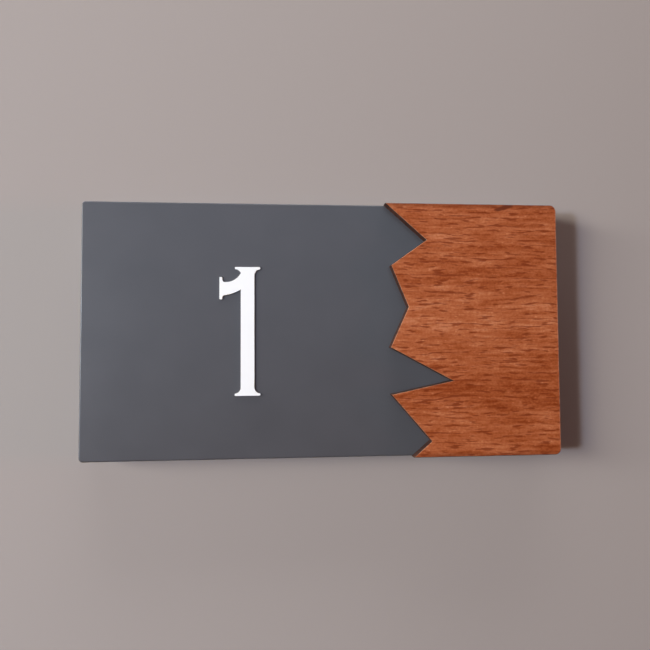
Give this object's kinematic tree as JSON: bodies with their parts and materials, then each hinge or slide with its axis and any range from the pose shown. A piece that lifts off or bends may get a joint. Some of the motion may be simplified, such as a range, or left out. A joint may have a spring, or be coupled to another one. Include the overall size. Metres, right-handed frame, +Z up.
{
  "type": "house number plaque",
  "caption": "Flat rectangular house number plaque: a dark grey board with a zigzag-cut wood overlay and a raised white serif numeral, held to a wall by foam tape.",
  "frame": {"origin": "middle of the wall plane, on the back face of the middle tape strip", "axes": "+X to the right, +Z up, the face looks along -Y and +Y points into the wall"},
  "size_m": [0.15, 0.012, 0.08],
  "materials": {
    "board_paint": "fibreboard with a satin anthracite coat",
    "overlay_wood": "reddish-brown hardwood veneer, open pored, satin, with dark cut edges",
    "numeral_white": "white satin acrylic",
    "foam_tape": "white closed-cell foam with adhesive faces"
  },
  "bodies": {
    "root": {"base_board": "board_paint", "wood_overlay": "overlay_wood", "numeral_one": "numeral_white", "left_tape_strip": "foam_tape", "middle_tape_strip": "foam_tape", "right_tape_strip": "foam_tape"}
  },
  "joints": []
}
